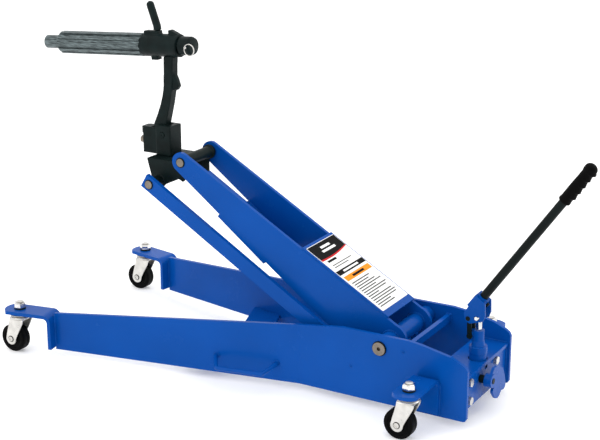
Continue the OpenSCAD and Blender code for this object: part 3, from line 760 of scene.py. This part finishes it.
def retaining_ring():
    """A split ring of spring wire through the head of the retaining pin."""
    local = shaft_frame()
    bm = bmesh.new()
    ring_r = 12.5
    turns = 1.85
    centre = Vector((93.6, -25, -4.6))
    steps = 90
    pts = []
    for i in range(steps + 1):
        a = 2 * math.pi * turns * i / steps + 0.38
        y = -0.9 + 1.8 * i / steps
        pts.append(centre + Vector((-ring_r * math.cos(a), y, ring_r * math.sin(a))))
    sweep(bm, mm_path(local, pts), lambda i, s: 0.0009, 8)
    pin = local @ Matrix.Translation((0.082, 0, 0)) @ Matrix.Rotation(math.pi / 2, 4, "X")
    for s in SIDES.values():
        ends = [(0, 15.6), (2.0, 15.6), (2.0, 20.5), (2.6, 21.2), (3.1, 22.6), (2.7, 24.4), (1.5, 25.4),
                (0, 25.6)] if s < 0 else [(0, 15.6), (2.0, 15.6), (2.0, 21.8), (1.2, 23.0), (0, 23.0)]
        flip = Matrix.Diagonal((1, 1, -s, 1))
        lathe(bm, [(r * MM, z * MM) for r, z in ends], pin @ flip, 20)
    obj = mesh_object("retaining_ring_wire", bm, M["zinc_plate"], sharp=50)
    finish_piece(obj, "shaft", ["retaining_pin_ring"])


# ---------- handle grip ----------

GRIP_Z0 = 326.0
GRIP_LEN = 96.0


def grip_radius(z, down):
    """Radius in millimetres at z along the grip; down is 1 on the finger side and 0 on top."""
    flare = 1.2 * math.exp(-((z - 2.0) / 4.0) ** 2)
    body = 11.6 + 0.5 * math.sin(math.pi * min(z / 60.0, 1.0))
    top = max(0.0, min((z - 72.0) / 10.0, 1.0))
    bulb = 1.7 * top * top * (3 - 2 * top)
    finger = 0.0
    pitch = 15.5
    if 14.0 < z < 14.0 + 4.4 * pitch:
        t = ((z - 14.0) / pitch) % 1.0
        finger = 3.0 * (min(t / 0.22, 1.0) if t < 0.22 else 1.0 - ((t - 0.22) / 0.78) ** 0.8)
    end = GRIP_LEN - z
    r = body + flare + bulb + finger * max(down, 0.0) ** 1.5
    if end < 11.0:
        r *= math.sqrt(max(1 - (1 - end / 11.0) ** 2, 0.0)) * 0.985 + 0.015
    return r


def grip():
    local = handle_frame() @ Matrix.Translation((-0.0055, 0, 0))
    bm = bmesh.new()
    steps = 56
    rings = []
    zs = [0.0]
    while zs[-1] < GRIP_LEN:
        zs.append(min(zs[-1] + (0.7 if zs[-1] < GRIP_LEN - 12 else 0.45), GRIP_LEN))
    groove = 3.0
    for z in zs:
        ring = []
        for k in range(steps):
            a = 2 * math.pi * k / steps
            r = grip_radius(z, math.cos(a))
            if abs(math.cos(a)) < 0.93 and 12 < z < 78:
                r -= 0.18 * (0.5 + 0.5 * math.cos(2 * math.pi * z / groove))
            ring.append(bm.verts.new(local @ (Vector((r * math.cos(a), r * math.sin(a), GRIP_Z0 + z)) * MM)))
        rings.append(ring)
    for a, b in zip(rings, rings[1:]):
        for k in range(steps):
            m = (k + 1) % steps
            bm.faces.new([a[k], a[m], b[m], b[k]])
    bm.faces.new(rings[-1])
    inner = []
    for k in range(steps):
        a = 2 * math.pi * k / steps
        inner.append(bm.verts.new(local @ (Vector((9.1 * math.cos(a), 9.1 * math.sin(a), GRIP_Z0)) * MM)))
    for k in range(steps):
        m = (k + 1) % steps
        bm.faces.new([rings[0][m], rings[0][k], inner[k], inner[m]])
    bm.faces.new(inner)
    obj = mesh_object("grip_sleeve", bm, M["grip_rubber"], sharp=60)
    finish_piece(obj, "pump_handle", ["handle_grip"])


# ---------- label ----------

LABEL_X = (-12.0, 198.0)
LABEL_HALF = 58.5
LABEL_TOP = 5.52


def label_patch(bm, outline, lift, index):
    """A thin printed patch; outline is (share of the length from the front, share of the width)."""
    local = top_frame()
    low, high = [], []
    for along, across in outline:
        x = LABEL_X[1] + (LABEL_X[0] - LABEL_X[1]) * along
        y = -LABEL_HALF + 2 * LABEL_HALF * across
        low.append(bm.verts.new(local @ (Vector((x, y, LABEL_TOP - 0.02)) * MM)))
        high.append(bm.verts.new(local @ (Vector((x, y, LABEL_TOP + lift)) * MM)))
    n = len(outline)
    faces = [bm.faces.new(high), bm.faces.new(list(reversed(low)))]
    for i in range(n):
        j = (i + 1) % n
        faces.append(bm.faces.new([low[i], low[j], high[j], high[i]]))
    for f in faces:
        f.material_index = index


def rect(a0, a1, w0, w1):
    return [(a0, w0), (a1, w0), (a1, w1), (a0, w1)]


def label():
    """Generic printed blocks and lines on the arms' top plate: no words and no marks."""
    bm = bmesh.new()
    white, black, red, orange, grey = range(5)
    base = top_frame()
    x0, x1 = LABEL_X
    outline = []
    corner = 3.0
    for cx, cy, start in ((x1 - corner, LABEL_HALF - corner, 0), (x0 + corner, LABEL_HALF - corner, 90),
                          (x0 + corner, -LABEL_HALF + corner, 180), (x1 - corner, -LABEL_HALF + corner, 270)):
        for i in range(6):
            a = math.radians(start + 90 * i / 5)
            outline.append((cx + corner * math.cos(a), cy + corner * math.sin(a)))
    low = [bm.verts.new(base @ (Vector((x, y, 5.0)) * MM)) for x, y in outline]
    high = [bm.verts.new(base @ (Vector((x, y, LABEL_TOP)) * MM)) for x, y in outline]
    bm.faces.new(high)
    bm.faces.new(list(reversed(low)))
    for i in range(len(outline)):
        j = (i + 1) % len(outline)
        bm.faces.new([low[i], low[j], high[j], high[i]])
    bend = [i / 16 for i in range(17)]
    swoop = [(0.165 + 0.030 * (1 - w) + 0.018 * math.sin(math.pi * w), 0.01 + 0.98 * w) for w in bend]
    band = [(a + 0.022 - 0.008 * w, w) for a, w in swoop]
    label_patch(bm, [(0.006, 0.99), (0.006, 0.01)] + swoop, 0.04, black)
    label_patch(bm, swoop + list(reversed(band)), 0.04, red)
    for a0, w0, w1 in ((0.055, 0.34, 0.66), (0.105, 0.28, 0.74)):
        label_patch(bm, rect(a0, a0 + 0.028, w0, w1), 0.07, white)
    label_patch(bm, rect(0.235, 0.262, 0.12, 0.42), 0.04, black)
    for a0, w0, w1 in ((0.305, 0.12, 0.80), (0.335, 0.12, 0.62)):
        label_patch(bm, rect(a0, a0 + 0.010, w0, w1), 0.04, grey)
    label_patch(bm, rect(0.385, 0.445, 0.01, 0.99), 0.04, black)
    label_patch(bm, rect(0.404, 0.426, 0.22, 0.76), 0.07, white)
    label_patch(bm, rect(0.475, 0.54, 0.04, 0.96), 0.04, orange)
    label_patch(bm, rect(0.495, 0.522, 0.30, 0.72), 0.07, black)
    ends = (0.70, 0.60, 0.74, 0.88, 0.62, 0.90, 0.82, 0.46, 0.84, 0.90, 0.86, 0.56, 0.62)
    for i, end in enumerate(ends):
        a0 = 0.575 + 0.0305 * i
        label_patch(bm, rect(a0, a0 + 0.0125, 0.07, end), 0.04, grey)
    obj = mesh_object("label_print", bm, [M["label_white"], M["label_black"], M["label_red"],
                                          M["label_orange"], M["label_grey"]], smooth=False)
    finish_piece(obj, "lift_arms", ["label_sheet"])


# ---------- stage ----------

def area_light(name, place, target, size, power, color=(1, 1, 1)):
    data = bpy.data.lights.new(name, "AREA")
    data.shape = "RECTANGLE"
    data.size, data.size_y = size
    data.energy = power
    data.color = color
    obj = bpy.data.objects.new(name, data)
    obj.location = place
    obj.rotation_euler = (Vector(target) - Vector(place)).to_track_quat("-Z", "Y").to_euler()
    bpy.context.collection.objects.link(obj)
    return obj


def stage():
    bm = bmesh.new()
    half = 14.0
    corners = [bm.verts.new((x, y, 0)) for x, y in
               ((-half, -half), (half, -half), (half, half), (-half, half))]
    bm.faces.new(corners)
    m, tree, shader = new_material("floor")
    vector = object_coords(tree)
    tint = ramp(tree, noise(tree, vector, 0.8, 2.0), [(0.3, (0.88, 0.88, 0.88)), (0.7, (0.90, 0.90, 0.90))])
    tree.links.new(tint, shader.inputs["Base Color"])
    shader.inputs["Roughness"].default_value = 0.8
    shader.inputs["Emission Color"].default_value = (1, 1, 1, 1)
    shader.inputs["Emission Strength"].default_value = 0.22
    floor = mesh_object("floor", bm, m, smooth=False)

    world = bpy.data.worlds.new("studio")
    world.use_nodes = True
    sky = world.node_tree.nodes["Background"]
    sky.inputs["Color"].default_value = (1, 1, 1, 1)
    sky.inputs["Strength"].default_value = 1.18
    bpy.context.scene.world = world

    middle = (-0.1, 0, 0.25)
    area_light("key", (-1.2, -3.0, 2.6), middle, (2.4, 1.6), 26)
    area_light("top", (0.2, 0.3, 3.0), middle, (3.0, 2.0), 16)
    area_light("rim", (2.6, 1.6, 1.8), middle, (1.6, 1.6), 14)

    data = bpy.data.cameras.new("camera")
    data.sensor_width = 36.0
    data.lens = 85.1
    data.clip_end = 60.0
    camera = bpy.data.objects.new("camera", data)
    camera.location = (1.4581, -2.4976, 1.2444)
    azimuth, elevation = math.radians(30.15), math.radians(17.41)
    look = Vector((-math.sin(azimuth) * math.cos(elevation),
                   math.cos(azimuth) * math.cos(elevation), -math.sin(elevation)))
    camera.rotation_euler = look.to_track_quat("-Z", "Y").to_euler()
    bpy.context.collection.objects.link(camera)
    bpy.context.scene.camera = camera
    view = bpy.context.scene.view_settings
    view.view_transform = "Standard"
    view.exposure = 0.0


def main():
    paint_nodes()
    soften(["side_plate_left", "side_plate_right", "front_cross_plate", "rear_cross_bar",
            "lift_arm_left", "lift_arm_right", "arm_top_plate", "arm_brace_plate",
            "lower_link_left", "lower_link_right"], 0.0012)
    soften(["rear_angle_plate", "caster_brackets"], 0.0010)
    frame_welds()
    leg_handles()
    arm_welds()
    head_welds()
    pin_collars()
    casters()
    caster_bolts()
    caster_nut_stack()
    cast_from("shaft_socket", "socket_casting", 0.0013, 5, "tilt_head", "head_black")
    cast_from("head_neck", "neck_forging", 0.0013, 5, "tilt_head", "head_black")
    cast_from("head_yoke", "yoke_weldment", 0.0013, 3, "yoke", "head_black")
    cast_from("swivel_block", "swivel_casting", 0.0013, 4, "swivel", "head_black")
    clamp_lever()
    retaining_ring()
    grip()
    label()
    stage()


main()
